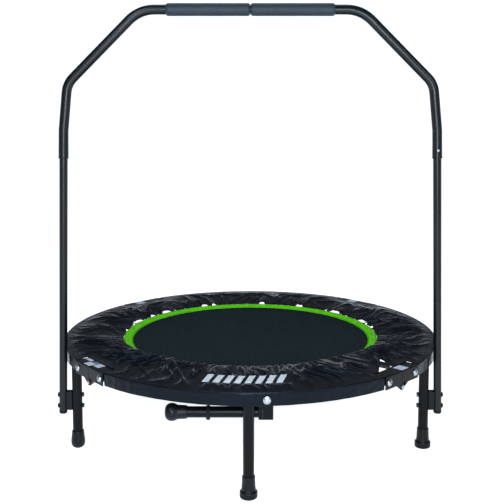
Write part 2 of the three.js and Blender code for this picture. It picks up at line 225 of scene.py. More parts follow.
def make_nylon():
    look = Look("coated_nylon", (0.0024, 0.0036, 0.0060), 0.25, Specular_IOR_Level=0.11,
                Specular_Tint=(0.72, 0.82, 1.0, 1))
    look.vary_color(look.noise(14, 4), (0.0042, 0.0058, 0.0090), 0.4, 0.75)
    look.vary_roughness(look.noise(18, 3), 0.07)
    look.bump(look.noise(7, 2.0, (4, 1, 1), "UV"), 0.5, 0.0050)
    look.bump(look.noise(26, 2, (2, 1, 1), "UV"), 0.12, 0.0016)
    look.bump(look.weave(2200, "UV"), 0.15, 0.0003)
    return look.material


def make_thread(name, color):
    look = Look(name, color, 0.7, Specular_IOR_Level=0.15)
    look.vary_color(look.noise(500, 3), tuple(0.7 * c for c in color))
    look.bump(look.noise(2500, 2), 0.4, 0.0003)
    return look.material


def make_spring_steel():
    look = Look("coated_spring_wire", (0.012, 0.013, 0.015), 0.4, 0.3, Specular_IOR_Level=0.3)
    look.vary_roughness(look.noise(300, 4), 0.1)
    look.vary_color(look.noise(150, 4), (0.022, 0.023, 0.026))
    look.bump(look.noise(1200, 2), 0.2, 0.0002)
    return look.material


def make_label(name, color):
    look = Look(name, color, 0.42, Coat_Weight=0.2, Coat_Roughness=0.2)
    look.vary_color(look.noise(60, 4), tuple(0.82 * c for c in color), 0.45, 0.8)
    look.bump(look.noise(220, 3), 0.25, 0.0004)
    return look.material


STEEL = make_black_steel("powder_coated_steel", 0.11)
BAR_STEEL = make_black_steel("painted_bar_steel", 0.27)
BOLT = make_bolt_steel()
RUBBER = make_rubber()
FOAM = make_foam()
MAT = make_mat()
BORDER = make_border()
NYLON = make_nylon()
SPRING = make_spring_steel()
THREAD = make_thread("green_thread", (0.030, 0.120, 0.004))
BLACK_THREAD = make_thread("black_webbing", (0.0045, 0.0050, 0.0062))
PRINT = make_label("white_print", (0.80, 0.81, 0.82))
LABEL_WHITE = make_label("pale_label", (0.62, 0.61, 0.66))
LABEL_BLUE = make_label("blue_label", (0.10, 0.20, 0.33))


# ---- Mesh helpers -----------------------------------------------------------------------------

def finish_piece(obj, material, body, replaced=(), sharp=35, bevel=0.0):
    mesh = obj.data
    mesh.materials.clear()
    mesh.materials.append(material)
    mesh.shade_smooth()
    mesh.set_sharp_from_angle(angle=math.radians(sharp))
    if bevel:
        modifier = obj.modifiers.new("edge", "BEVEL")
        modifier.width = bevel
        modifier.segments = 2
        modifier.limit_method = "ANGLE"
        modifier.angle_limit = math.radians(30)
    if body:
        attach(obj, body)
    if replaced:
        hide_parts(*replaced)
    return obj


def new_object(name, verts, faces, place=None):
    mesh = bpy.data.meshes.new(name)
    mesh.from_pydata([tuple(v) for v in verts], [], faces)
    if place is not None:
        mesh.transform(place)
    work = bmesh.new()
    work.from_mesh(mesh)
    bmesh.ops.recalc_face_normals(work, faces=work.faces)
    work.to_mesh(mesh)
    work.free()
    obj = bpy.data.objects.new(name, mesh)
    bpy.context.scene.collection.objects.link(obj)
    return obj


def rings_to_faces(count, sides, closed=False):
    faces = []
    for i in range(count if closed else count - 1):
        j = (i + 1) % count
        for k in range(sides):
            m = (k + 1) % sides
            faces.append((i * sides + k, i * sides + m, j * sides + m, j * sides + k))
    return faces


def turned_data(profile, sides=40):
    """Vertices and faces of a turned piece about +Z. A profile that returns to its start is a ring."""
    closed = profile[0] == profile[-1]
    rows = profile[:-1] if closed else profile
    verts = []
    for radius, height in rows:
        radius = max(radius, 1e-5)
        for k in range(sides):
            angle = TAU * k / sides
            verts.append((radius * math.cos(angle), radius * math.sin(angle), height))
    faces = rings_to_faces(len(rows), sides, closed)
    if not closed:
        faces.append(tuple(range(sides)))
        faces.append(tuple((len(rows) - 1) * sides + k for k in range(sides)))
    return verts, faces


def merge(parts):
    """Joins several (verts, faces) into one."""
    verts, faces = [], []
    for part_verts, part_faces in parts:
        start = len(verts)
        verts.extend(part_verts)
        faces.extend(tuple(start + i for i in face) for face in part_faces)
    return verts, faces


def moved(data, matrix):
    verts, faces = data
    return [tuple(matrix @ Vector(v)) for v in verts], faces


def swept_data(points, radius, sides=24, up=Vector((0, 1, 0))):
    """A round bar along points, which stay in a plane roughly square to up."""
    count = len(points)
    verts = []
    for i, point in enumerate(points):
        ahead = points[min(i + 1, count - 1)] - points[max(i - 1, 0)]
        side = ahead.cross(up).normalized()
        over = side.cross(ahead).normalized()
        for k in range(sides):
            angle = TAU * k / sides
            verts.append(point + side * (radius * math.cos(angle)) + over * (radius * math.sin(angle)))
    faces = rings_to_faces(count, sides)
    faces.append(tuple(range(sides)))
    faces.append(tuple((count - 1) * sides + k for k in range(sides)))
    return verts, faces


def plate_data(outline, near, far):
    """A flat plate with its outline in XZ and its thickness along Y."""
    count = len(outline)
    verts = [(x, near, z) for x, z in outline] + [(x, far, z) for x, z in outline]
    faces = [tuple(range(count)), tuple(range(2 * count - 1, count - 1, -1))]
    for i in range(count):
        j = (i + 1) % count
        faces.append((i, j, count + j, count + i))
    return verts, faces


def block_data(low, high):
    return plate_data([(low[0], low[2]), (high[0], low[2]), (high[0], high[2]), (low[0], high[2])],
                      low[1], high[1])


def along_x(x=0, y=0, z=0):
    return Matrix.Translation((x, y, z)) @ Matrix.Rotation(math.pi / 2, 4, "Y")


def along_y(x=0, y=0, z=0):
    return Matrix.Translation((x, y, z)) @ Matrix.Rotation(-math.pi / 2, 4, "X")


def at_frame(degrees):
    """From a frame station's axes (+X along the tube, +Y outwards) to the row frame."""
    turn = Matrix.Rotation(math.radians(degrees - 90), 4, "Z")
    return Matrix.Translation((0, 0, FRAME_HEIGHT)) @ turn @ Matrix.Translation((0, FRAME_RADIUS, 0))


def build(name, data, material, body="frame", replaced=(), place=None, sharp=35, bevel=0.0):
    obj = new_object(name, *data, place)
    return finish_piece(obj, material, body, replaced, sharp, bevel)


def polar(radius, degrees, height):
    angle = math.radians(degrees)
    return Vector((radius * math.cos(angle), radius * math.sin(angle), height))


# ---- Frame and hinges -------------------------------------------------------------------------

def make_frame_arcs():
    half_gap = math.degrees(TUBE_END_GAP / 2 / FRAME_RADIUS)
    for name, (start, stop) in ARCS.items():
        start, stop = start + half_gap, stop - half_gap
        points = [polar(FRAME_RADIUS, start + (stop - start) * i / 60, FRAME_HEIGHT) for i in range(61)]
        data = swept_data(points, TUBE_RADIUS, 28, Vector((0, 0, 1)))
        build(f"tube_{name}", data, STEEL, replaced=(f"frame_arc_{name}",))


OUTER_CHEEK = [
    (0.0004, COVER + PLATE), (0.0004, -0.0134), (-0.008, -0.017), (-0.0095, -0.021), (-0.009, -0.025),
    (-0.006, -0.0295), (0, -0.031), (0.005, -0.0295), (0.014, -0.0225), (0.024, -0.016),
    (HINGE_LENGTH, -0.016), (HINGE_LENGTH, COVER + PLATE),
]
INNER_CHEEK = [
    (-0.0004, COVER + PLATE), (-0.0004, -0.013), (-0.012, -0.013), (-0.012, -0.024), (-0.024, -0.016),
    (-HINGE_LENGTH, -0.016), (-HINGE_LENGTH, COVER + PLATE),
]
INNER_EAR = [
    (0.007, -0.020), (0.007, -0.026), (0.003, -0.030), (-0.003, -0.030), (-0.016, -0.022),
    (-0.022, -0.016), (-0.022, -0.014), (0.002, -0.014),
]


def bracket_data(outline, direction):
    far = direction * HINGE_LENGTH
    near = direction * 0.0004
    top = block_data((min(near, far), REAR_CHEEK[0], COVER), (max(near, far), FRONT_CHEEK[1], COVER + PLATE))
    return [top, plate_data(outline, *FRONT_CHEEK), plate_data(outline, *REAR_CHEEK)]


def dome_bolt(front, rear):
    """A domed head on a washer in front, a nut behind, along +Y."""
    dome = [(0.0074 * math.cos(t * math.pi / 16), front + 0.0016 + 0.0036 * math.sin(t * math.pi / 16))
            for t in range(7)]
    dome += [(0.0026, front + 0.0036), (0.0, front + 0.0034)]
    head = [(0.004, front - 0.001), (0.0085, front - 0.0002), (0.0085, front + 0.0012),
            (0.0076, front + 0.0014), *dome]
    shank = turned_data([(0.004, rear), (0.004, front)], 20)
    nut = turned_data([(0.0066, rear - 0.005), (0.0066, rear)], 6)
    return merge([moved(part, along_y()) for part in (turned_data(head, 32), shank, nut)])


def make_hinges():
    front_face = FRONT_CHEEK[1] + 0.0003
    rear_face = REAR_CHEEK[0] - 0.0003
    for name, degrees in HINGES.items():
        place = at_frame(degrees)
        outer = merge(bracket_data(OUTER_CHEEK, 1))
        build(f"hinge_plate_outer_{name}", outer, STEEL,
              replaced=(f"hinge_bracket_outer_{name}",), place=place, bevel=0.0007)
        ears = [plate_data(INNER_EAR, FRONT_CHEEK[0] - 0.0028, FRONT_CHEEK[0] - 0.0003),
                plate_data(INNER_EAR, REAR_CHEEK[1] + 0.0003, REAR_CHEEK[1] + 0.0028)]
        inner = merge(bracket_data(INNER_CHEEK, -1) + ears)
        build(f"hinge_plate_inner_{name}", inner, STEEL,
              replaced=(f"hinge_bracket_inner_{name}",), place=place, bevel=0.0007)
        pin = turned_data([
            (0.0038, rear_face - 0.002), (0.0045, rear_face - 0.0012), (0.0045, rear_face),
            (0.003, rear_face), (0.003, front_face), (0.0045, front_face),
            (0.0045, front_face + 0.0012), (0.0034, front_face + 0.002),
        ], 24)
        build(f"pivot_pin_{name}", pin, BOLT, replaced=(f"hinge_pin_{name}",),
              place=place @ along_y(0, 0, PIN_DROP))
        for end, side in (("a", 1), ("b", -1)):
            shift = Matrix.Translation((side * HINGE_BOLT_OFFSET, 0, 0))
            build(f"bolt_{name}_{end}", dome_bolt(front_face, rear_face), BOLT,
                  replaced=(f"hinge_bolt_{name}_{end}",), place=place @ shift)
        make_labels(name, place)


def make_labels(name, place):
    """Blank stickers on the two plates of a hinge."""
    top = COVER + PLATE + 0.0002
    patches = [(-0.030, -0.002, -0.014, 0.0125, LABEL_WHITE)]
    if name == "front_left":
        patches = [
            (0.003, 0.030, -0.006, 0.0125, LABEL_WHITE), (0.003, 0.022, -0.018, -0.0070, LABEL_BLUE),
            (-0.024, -0.001, -0.017, 0.0040, LABEL_WHITE), (0.032, 0.058, -0.018, -0.0080, LABEL_WHITE),
        ]
    for i, (low, high, rear, front, material) in enumerate(patches):
        data = block_data((low, rear, top), (high, front, top + 0.0004))
        build(f"label_{name}_{i}", data, material, place=place, bevel=0.0001)


# ---- Legs -------------------------------------------------------------------------------------

def ring_foot_data():
    outline = [
        (0.0165, 0.0), (0.0185, 0.0004), (0.0197, 0.0018), (0.0200, 0.0035), (0.0200, 0.0066),
        (0.0192, 0.0072), (0.0192, 0.0080), (0.0200, 0.0086), (0.0200, 0.0132), (0.0196, 0.0150),
        (0.0180, 0.0163), (0.0167, 0.0176), (0.0160, 0.0200), (0.0153, 0.0300), (0.0148, 0.0420),
        (0.0147, 0.0480), (0.0143, 0.0497), (0.0134, 0.0500), (0.0126, 0.0500),
    ]
    return turned_data(outline, 56)


def bulb_foot_data():
    outline = [
        (0.0080, 0.0), (0.0112, 0.0006), (0.0140, 0.0027), (0.0160, 0.0060), (0.0172, 0.0105),
        (0.0175, 0.0145), (0.0173, 0.0190), (0.0167, 0.0245), (0.0159, 0.0310), (0.0153, 0.0370),
        (0.0149, 0.0415), (0.0146, 0.0434), (0.0138, 0.0440), (0.0126, 0.0440),
    ]
    return turned_data(outline, 56)


def make_legs():
    places = {
        "front": (FRONT_LEG_X, -FRAME_RADIUS),
        "left": (-SIDE_LEG_X, HANDLEBAR_Y),
        "right": (SIDE_LEG_X, HANDLEBAR_Y),
    }
    for name, degrees in BACK_LEG_ANGLES.items():
        places[name] = tuple(polar(FRAME_RADIUS, degrees, 0)[:2])
    for name, (x, y) in places.items():
        place = Matrix.Translation((x, y, 0))
        tube = turned_data([(TUBE_RADIUS, LEG_BOTTOM), (TUBE_RADIUS, LEG_TOP)], 40)
        build(f"leg_tube_{name}", tube, STEEL, replaced=(f"leg_{name}",), place=place)
        plug = turned_data([(0.0100, 0.1650), (0.0107, 0.1657), (0.0107, 0.2165)], 32)
        build(f"leg_plug_{name}", plug, STEEL, replaced=(f"leg_spigot_{name}",),
              place=place)
        foot = bulb_foot_data() if name == "left" else ring_foot_data()
        build(f"rubber_foot_{name}", foot, RUBBER, replaced=(f"foot_{name}",), place=place,
              sharp=50)


def ball_foot_data():
    outline = [
        (0.0060, 0.0), (0.0110, 0.0008), (0.0152, 0.0034), (0.0182, 0.0072), (0.0197, 0.0118),
        (0.0200, 0.0160), (0.0196, 0.0200), (0.0184, 0.0236), (0.0168, 0.0262), (0.0160, 0.0285),
        (0.0156, 0.0350), (0.0151, 0.0430), (0.0147, 0.0480), (0.0141, 0.0498), (0.0126, 0.0500),
    ]
    return turned_data(outline, 56)


def make_folding_leg():
    lay = along_x(FOLD_SOLE_X, FOLD_LEG_Y, FOLD_AXIS_HEIGHT)
    block_start = FOLD_PIVOT_X - 0.018
    tube = turned_data([(TUBE_RADIUS, LEG_BOTTOM), (TUBE_RADIUS, block_start - FOLD_SOLE_X)], 40)
    build("stowed_leg_tube", tube, STEEL, "stowed_leg", ("folding_leg",), lay)
    build("stowed_leg_foot", ball_foot_data(), RUBBER, "stowed_leg", ("foot_folding",), lay, 50)
    block = block_data((block_start, FOLD_LEG_Y - 0.0129, FOLD_AXIS_HEIGHT - 0.0139),
                       (FOLD_PIVOT_X - 0.003, FOLD_LEG_Y + 0.0129, FOLD_AXIS_HEIGHT + 0.0139))
    back = FOLD_LEG_Y - 0.0134
    outline = [(-0.018, -0.061), (0.015, -0.061), (0.015, -0.028), (0.011, -0.018), (0.011, 0.003)]
    outline += [(0.011 * math.cos(t * math.pi / 12), 0.003 + 0.009 * math.sin(t * math.pi / 12))
                for t in range(1, 12)]
    outline += [(-0.011, 0.003), (-0.011, -0.018), (-0.018, -0.028)]
    outline = [(FOLD_PIVOT_X + x, FRAME_HEIGHT + z) for x, z in outline]
    plate = plate_data(outline, back, back + 0.004)
    build("stowed_leg_bracket", merge([block, plate]), STEEL, "stowed_leg",
          ("folding_leg_bracket",), bevel=0.0012)
    # A painted highlight, not a seam: a thin strip of lighter, glossier wire coating on the front face of
    # the bracket plate.
    painted_highlight_strip = block_data((block_start + 0.0085, back - 0.0003, FOLD_AXIS_HEIGHT - 0.011),
                           (block_start + 0.0100, back + 0.0005, FOLD_AXIS_HEIGHT + 0.011))
    build("stowed_leg_painted_highlight", painted_highlight_strip, SPRING, "stowed_leg", bevel=0.0002)

    face = 0.5002
    head = [(0.0040, 0.4960), (0.0085, 0.4990), (0.0085, face + 0.0008)]
    head += [(0.0078 * math.cos(t * math.pi / 16), face + 0.001 + 0.0024 * math.sin(t * math.pi / 16))
             for t in range(7)]
    head += [(0.0027, face + 0.0018), (0.0, face + 0.0016)]
    nut_face = -(back + 0.0043)
    shank = turned_data([(0.004, nut_face), (0.004, 0.4965)], 20)
    nut = turned_data([(0.0066, nut_face - 0.005), (0.0066, nut_face)], 6)
    turn = Matrix.Translation((FOLD_PIVOT_X, 0, FRAME_HEIGHT)) @ Matrix.Rotation(math.pi / 2, 4, "X")
    build("stowed_leg_pivot", merge([turned_data(head, 32), shank, nut]), BOLT,
          replaced=("folding_leg_bolt",), place=turn)

    band = turned_data([(0.0128, 0.092), (0.0140, 0.0922), (0.0146, 0.0935), (0.0146, 0.0995),
                        (0.0140, 0.1008), (0.0128, 0.101), (0.0128, 0.092)], 40)
    knob = moved(turned_data([(0.0042, -0.0172), (0.0050, -0.0155), (0.0050, -0.0128)], 20),
                 Matrix.Translation((0, 0, 0.0965)) @ Matrix.Rotation(-math.pi / 2, 4, "Y"))
    build("stowed_leg_strap", merge([band, knob]), BLACK_THREAD, "stowed_leg", (), lay)


# ---- Handlebar --------------------------------------------------------------------------------

POST_FOOT = Vector((0.4725, HANDLEBAR_Y, 0.092))
POST_TOP = Vector((0.4565, HANDLEBAR_Y, 0.775))
POST_RADIUS = 0.0100
UPPER_RADIUS = 0.0120
UPPER_START = 0.733
SLEEVE_END = 0.800
SLANT_START = (0.4445, 0.913)
SLANT_END_X = 0.267
BAR_HEIGHT = 1.0905
BEND_RADII = (0.090, 0.060, 0.090)
BUTTON_HEIGHT = 0.752
GRIP_RADIUS = 0.0155
GRIP_BORE = 0.0124
GRIP_START = 0.0010
GRIP_END = 0.2030
CROSS_BOLTS = {"lower": 0.108, "upper": 0.136}


def post_x(height):
    share = (height - POST_FOOT.z) / (POST_TOP.z - POST_FOOT.z)
    return POST_FOOT.x + (POST_TOP.x - POST_FOOT.x) * share


def upper_bar_points():
    """Centre line of the right half: upright, slant and top, with a rounded bend at each corner."""
    places = [
        (post_x(UPPER_START), UPPER_START), (post_x(SLEEVE_END), SLEEVE_END), SLANT_START,
        (SLANT_END_X, BAR_HEIGHT), (0.0004, BAR_HEIGHT),
    ]
    corners = [Vector((x, HANDLEBAR_Y, z)) for x, z in places]
    points = [corners[0]]
    for bend, before, corner, after in zip(BEND_RADII, corners, corners[1:], corners[2:]):
        back, ahead = (before - corner).normalized(), (after - corner).normalized()
        reach = bend / math.tan(back.angle(ahead) / 2)
        start, end = corner + back * reach, corner + ahead * reach
        for i in range(13):
            t = i / 12
            points.append(start * (1 - t) ** 2 + corner * (2 * t * (1 - t)) + end * t ** 2)
    points.append(corners[-1])
    return points


def make_handlebar():
    """Both halves. The left one is the right one turned about the upright line through the middle."""
    lean = math.atan2(POST_TOP.x - POST_FOOT.x, POST_TOP.z - POST_FOOT.z)
    stand = Matrix.Translation(POST_FOOT) @ Matrix.Rotation(lean, 4, "Y")
    middle = Matrix.Translation((0, HANDLEBAR_Y, 0))
    turn = middle @ Matrix.Rotation(math.pi, 4, "Z") @ middle.inverted()
    upper = swept_data(upper_bar_points(), UPPER_RADIUS, 32)
    for side, place in (("right", Matrix.Identity(4)), ("left", turn)):
        make_post(side, place @ stand)
        build(f"upper_bar_{side}", upper, BAR_STEEL,
              replaced=(f"handlebar_upper_{side}",), place=place)
        button = turned_data([(0.0034, 0.0), (0.0034, 0.0010), (0.0026, 0.0018), (0.0012, 0.0021)], 20)
        spot = Matrix.Translation((post_x(BUTTON_HEIGHT), HANDLEBAR_Y - 0.0116, BUTTON_HEIGHT))
        build(f"snap_button_{side}", button, BOLT,
              place=place @ spot @ Matrix.Rotation(math.pi / 2, 4, "X"))
        make_grip(side, place)
        make_cross_bolts(side, place)
    joiner = turned_data([(0.0098, -0.07), (0.0098, 0.07)], 24)
    build("bar_joiner", joiner, STEEL, replaced=("handlebar_joiner",),
          place=along_x(0, HANDLEBAR_Y, BAR_HEIGHT))


def make_post(side, stand):
    """The straight lower post, its end cap and the lip of the sleeve that slides over its top."""
    length = (POST_TOP - POST_FOOT).length
    post = turned_data([(POST_RADIUS, 0.0), (POST_RADIUS, length)], 36)
    build(f"post_tube_{side}", post, BAR_STEEL, replaced=(f"handlebar_post_{side}",),
          place=stand)
    cap = turned_data([
        (0.0070, -0.0042), (0.0088, -0.0036), (0.0099, -0.0022), (0.0102, -0.0003),
        (0.0102, 0.0050), (0.0100, 0.0056),
    ], 36)
    build(f"post_end_cap_{side}", cap, RUBBER, replaced=(f"post_cap_{side}",), place=stand)
    collar = turned_data([
        (0.0101, 0.0), (0.0119, 0.0), (0.0126, 0.0006), (0.0126, 0.0022), (0.0121, 0.0032),
        (0.0101, 0.0032), (0.0101, 0.0),
    ], 36)
    share = (UPPER_START - POST_FOOT.z) / (POST_TOP.z - POST_FOOT.z)
    lift = Matrix.Translation((0, 0, length * share - 0.001))
    build(f"sleeve_lip_{side}", collar, BAR_STEEL, place=stand @ lift)


def make_grip(side, place):
    """A foam sleeve with slightly squeezed ends and a soft unevenness along it."""
    steps = 64
    length = GRIP_END - GRIP_START
    profile = [(GRIP_BORE, GRIP_START)]
    for i in range(steps + 1):
        t = i / steps
        edge = min(t, 1 - t) * length
        round_off = 0.0026 * math.exp(-edge / 0.0016)
        swell = 0.00025 * noise.noise(Vector((t * 9, 3.1, 0)))
        profile.append((GRIP_RADIUS - round_off + swell, GRIP_START + length * t))
    profile += [(GRIP_BORE, GRIP_END), (GRIP_BORE, GRIP_START)]
    sleeve = build(f"foam_sleeve_{side}", turned_data(profile, 48), FOAM,
                   replaced=(f"foam_grip_{side}",),
                   place=place @ along_x(0, HANDLEBAR_Y, BAR_HEIGHT), sharp=60)


def make_cross_bolts(side, place):
    """The block between a post and its side leg, and the two bolts through all three."""
    half_width = 0.0085
    leg_side = SIDE_LEG_X + TUBE_RADIUS
    saddle = block_data((leg_side - 0.0015, HANDLEBAR_Y - half_width, CROSS_BOLTS["lower"] - 0.010),
                        (post_x(0.122) - half_width, HANDLEBAR_Y + half_width, CROSS_BOLTS["upper"] + 0.010))
    build(f"post_saddle_{side}", saddle, RUBBER, place=place, bevel=0.0015)
    for level, height in CROSS_BOLTS.items():
        post = post_x(height)
        inner, outer = SIDE_LEG_X - TUBE_RADIUS, post + POST_RADIUS
        spacer = turned_data([
            (0.0060, leg_side - 0.001), (0.0070, leg_side + 0.0012),
            (0.0070, post - 0.0112), (0.0060, post - 0.0090),
        ], 28)
        shank = turned_data([(0.003, inner - 0.003), (0.003, outer + 0.004)], 16)
        nut = turned_data([(0.0062, inner - 0.0046), (0.0062, inner - 0.0004)], 6)
        cap = [(0.0064, outer + 0.0002), (0.0064, outer + 0.0014)]
        cap += [(0.0058 * math.cos(t * math.pi / 12), outer + 0.0016 + 0.0028 * math.sin(t * math.pi / 12))
                for t in range(7)]
        data = merge([spacer, shank, nut, turned_data(cap, 28)])
        build(f"cross_bolt_{level}_{side}", data, SPRING,
              replaced=(f"post_bolt_{level}_{side}",), place=place @ along_x(0, HANDLEBAR_Y, height))


# ---- Jumping surface --------------------------------------------------------------------------

def make_mat_disc():
    rows, sides = 48, 192
    verts, faces = [], []
    for level, drop in ((0, 0.0), (1, 0.0022)):
        for i in range(rows + 1):
            radius = MAT_RADIUS * i / rows
            sag = 0.0016 * (1 - (radius / MAT_RADIUS) ** 2)
            for k in range(sides):
                angle = TAU * k / sides
                x, y = radius * math.cos(angle), radius * math.sin(angle)
                ripple = 0.0004 * noise.noise(Vector((x * 9, y * 9, 0.4)))
                verts.append((x, y, MAT_TOP - 0.0002 - sag - drop + ripple))
    ring = sides * (rows + 1)
    for level in (0, 1):
        for i in range(rows):
            for k in range(sides):
                m = (k + 1) % sides
                a, b = level * ring + i * sides, level * ring + (i + 1) * sides
                faces.append((a + k, a + m, b + m, b + k) if level else (a + k, b + k, b + m, a + m))
    edge = rows * sides
    for k in range(sides):
        m = (k + 1) % sides
        faces.append((edge + k, ring + edge + k, ring + edge + m, edge + m))
    obj = new_object("mat_cloth", verts, faces)
    work = bmesh.new()
    work.from_mesh(obj.data)
    bmesh.ops.remove_doubles(work, verts=work.verts, dist=1e-6)
    work.to_mesh(obj.data)
    work.free()
    finish_piece(obj, MAT, "mat_panel", ("mat",), 60)


def make_border_ring():
    inner, outer = MAT_RADIUS - 0.0010, BORDER_RADIUS
    low = MAT_TOP
    profile = [
        (inner, low + 0.0002), (inner + 0.0008, low + 0.0012), (inner + 0.0040, low + 0.0020),
        ((inner + outer) / 2, low + 0.0038), (outer - 0.0040, low + BORDER_RISE - 0.0006),
        (outer - 0.0007, low + BORDER_RISE - 0.0004), (outer, low + BORDER_RISE - 0.0012),
        (outer - 0.0007, low + BORDER_RISE - 0.0022), ((inner + outer) / 2, low + 0.0019),
        (inner + 0.0012, low - 0.0004), (inner, low + 0.0002),
    ]
    border = build("lime_border", turned_data(profile, 288), BORDER, "mat_panel",
                   ("mat_border",), sharp=70)
    stitches = []
    for radius, rise in ((inner + 0.0022, 0.0018), (outer - 0.0022, BORDER_RISE - 0.0003)):
        count = 360
        for i in range(count):
            turn = Matrix.Rotation(TAU * i / count, 4, "Z") @ Matrix.Translation((radius, 0, low + rise))
            stitches.append(moved(block_data((-0.0005, -0.0021, -0.0003), (0.0005, 0.0021, 0.0005)), turn))
    thread = build("border_stitches", merge(stitches), THREAD, "mat_panel")


def spring_data():
    """One coil spring along +X from its mat hook at 0 to its frame hook."""
    start, stop, radius, wire, turns, per_turn = 0.024, 0.098, 0.0066, 0.0013, 22, 12
    hook = 0.0045
    points = []
    for i in range(9):
        angle = math.pi * (i / 8 - 0.5)
        points.append(Vector((hook - hook * math.cos(angle), hook * math.sin(angle), 0)))
    points.append(Vector((0.017, 0.0035, 0.001)))
    steps = turns * per_turn
    for i in range(steps + 1):
        angle = TAU * i / per_turn
        along = start + (stop - start) * i / steps
        points.append(Vector((along, radius * math.cos(angle), radius * math.sin(angle))))
    points += [Vector(point) for point in (
        (0.106, 0.003, 0.001), (0.114, 0.001, 0.001), (0.1195, 0.0, -0.001), (0.1225, 0, -0.005))]
    verts, sides = [], 6
    for i, point in enumerate(points):
        ahead = (points[min(i + 1, len(points) - 1)] - points[max(i - 1, 0)]).normalized()
        side = ahead.cross(Vector((0.31, 0.2, 0.93))).normalized()
        over = side.cross(ahead)
        for k in range(sides):
            angle = TAU * k / sides
            verts.append(point + side * (wire * math.cos(angle)) + over * (wire * math.sin(angle)))
    faces = rings_to_faces(len(points), sides)
    faces += [tuple(range(sides)), tuple((len(points) - 1) * sides + k for k in range(sides))]
    return verts, faces


def make_springs():
    """The springs and the webbing tabs that hold them. Each spring stretches from the mat to the frame."""
    data = spring_data()
    tab = plate_data([
        (-0.0130, -0.0006), (-0.004, -0.0002), (0.0005, -0.0012), (0.0012, 0.0006), (0.0005, 0.0018),
        (-0.004, 0.0012), (-0.0130, 0.0008),
    ], -0.0105, 0.0105)
    first = None
    for i in range(SPRING_COUNT):
        degrees = 360 * i / SPRING_COUNT
        if degrees == BARE_SPRING_PLACE:
            continue
        turn = Matrix.Rotation(math.radians(degrees), 4, "Z")
        place = turn @ Matrix.Translation((BORDER_RADIUS + 0.0015, 0, SPRING_HEIGHT))
        obj = new_object(f"coil_spring_{i:02d}", *data, place)
        finish_piece(obj, SPRING, None, (), 60)
        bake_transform(obj)
        first = first or obj
        build(f"mat_tab_{i:02d}", tab, BLACK_THREAD, "mat_panel",
              place=turn @ Matrix.Translation((BORDER_RADIUS + 0.0010, 0, 0.2352)), bevel=0.0004)
    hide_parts("spring_ring")


# ---- Safety skirt -----------------------------------------------------------------------------

def smooth(low, high, value):
    """0 below low, 1 above high, and a smooth step between them."""
    t = min(1.0, max(0.0, (value - low) / (high - low)))
    return t * t * (3 - 2 * t)


# Where the hem stands open at the back: middle and width of each gap, in degrees.
HEM_GAPS = {10: 2.5, 20: 8, 44: 8.5, 64: 3, 84: 2.5, 112: 7, 135.5: 8, 146: 4, 160: 9, 174: 2.5}
CUT_DEPTH = 0.4622
CUT_HALF = 0.0680
CUT_REACH = 0.40
# The open notch behind the front right hinge has two slanted edges.
NOTCH_SLANTS = (0.665, 0.313)
NOTCH_LIMITS = (0.4303, 0.1529)
PIPING_MARGIN = 8.8
BAR_COUNT = 8
BAR_PITCH = 0.0238
BAR_WIDTH = 0.0150
BAR_SLANT = 0.012
BAR_START = 0.392
BAR_LENGTH = 0.050


def hem_lift(angle):
    """How far the hem stands off the border at the back, where the springs show: 0 to 1."""
    degrees = math.degrees(angle) % 360
    lift = 0.0
    for middle, width in HEM_GAPS.items():
        lift = max(lift, 1 - smooth(0.46 * width, 0.58 * width, abs(degrees - middle)))
    return lift


def hem_radius(angle):
    """The gathered hem meets the border's edge behind, and lies over it in front."""
    cover = smooth(0.22, 0.80, -math.sin(angle))
    wobble = 0.0012 * noise.noise(Vector((math.cos(angle) * 9, math.sin(angle) * 9, 5)))
    return 0.3455 - 0.0265 * cover + wobble + 0.0045 * hem_lift(angle)


def skirt_height(angle, share, radius):
    """Height of the nylon's top at that share of the way from hem (0) to rim (1)."""
    x, y = math.cos(angle), math.sin(angle)
    base = SKIRT_TOP - 0.0022
    swell = 0.0020 * math.sin(math.pi * share)
    near_hem = (1 - share) ** 1.6
    front = smooth(0.1, 0.9, -y)
    hem_rise = (0.0030 * front - 0.0046 * (1 - front) * (1 - hem_lift(angle))) * near_hem ** 2
    middle = math.sin(math.pi * min(1, share * 1.05))
    wander = 3.0 * noise.noise(Vector((x * 5, y * 5, share * 1.3)))
    gather = math.sin(96 * angle + 4 * wander)
    strength = 0.6 + 0.9 * noise.noise(Vector((x * 6, y * 6, 9)))
    gathers = (0.0012 + 0.0014 * front) * near_hem * max(0.0, strength) * gather
    drift = angle + 0.16 * noise.noise(Vector((x * 2.6, y * 2.6, share * 2.0)))
    ridge = noise.noise(Vector((math.cos(drift) * 12, math.sin(drift) * 12, share * 1.1)))
    folds = (0.0050 + 0.0030 * front) * middle * (max(0.0, 0.22 - abs(ridge)) / 0.22) ** 1.5
    cross = noise.noise(Vector((math.cos(drift) * 24, math.sin(drift) * 24, share * 1.6 + 20)))
    small = 0.0013 * middle * (max(0.0, 0.20 - abs(cross)) / 0.20) ** 1.4
    broad = 0.0016 * middle * noise.noise(Vector((x * 8, y * 8, share * 3)))
    calm = (1 - 0.85 * print_nearness(x, y, radius)) * (1 - 0.94 * hinge_nearness(angle, radius))
    return base + swell + hem_rise + calm * (gathers + folds + small + broad)


def print_nearness(x, y, radius):
    """1 under the printed bars, where the cloth lies calmer, 0 well away from them."""
    across = 1 - smooth(0.095, 0.125, abs(radius * x + 0.012))
    along = smooth(0.378, 0.392, radius) * (1 - smooth(0.442, 0.458, radius))
    return across * along * smooth(0.5, 0.8, -y)


def hinge_nearness(angle, radius):
    """1 where the cloth lies flat on the rear edge of a hinge's top plate, 0 well away from it."""
    nearness = 0.0
    for degrees in HINGES.values():
        turn = angle - math.radians(degrees)
        out, side = radius * math.cos(turn), abs(radius * math.sin(turn))
        nearness = max(nearness, smooth(0.418, 0.450, out) * (1 - smooth(0.070, 0.098, side)))
    return nearness


